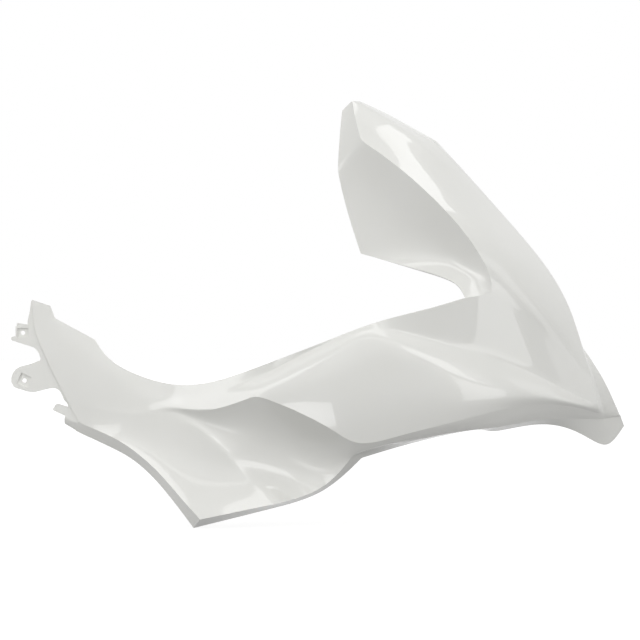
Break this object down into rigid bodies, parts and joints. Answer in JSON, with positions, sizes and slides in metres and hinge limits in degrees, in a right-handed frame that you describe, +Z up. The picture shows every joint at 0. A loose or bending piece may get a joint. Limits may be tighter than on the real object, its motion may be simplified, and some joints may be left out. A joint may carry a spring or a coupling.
{
  "type": "scooter front panel",
  "caption": "Moulded front body panel of a scooter: a wing and bulging cheek run into a wrapped nose with a tall horn; screw ears at the rear, bosses on the back.",
  "frame": {"origin": "centre of the lower ear's screw hole, on the pocket floor where the screw head bears", "axes": "+X towards the front of the vehicle, +Y inwards to the vehicle's centre plane, so the painted outside faces -Y, +Z up as the panel is fitted"},
  "size_m": [0.802, 0.1332, 0.553],
  "materials": {
    "white_paint": "gloss white paint on moulded ABS"
  },
  "bodies": {
    "root": {"front_panel": "white_paint"}
  },
  "joints": []
}
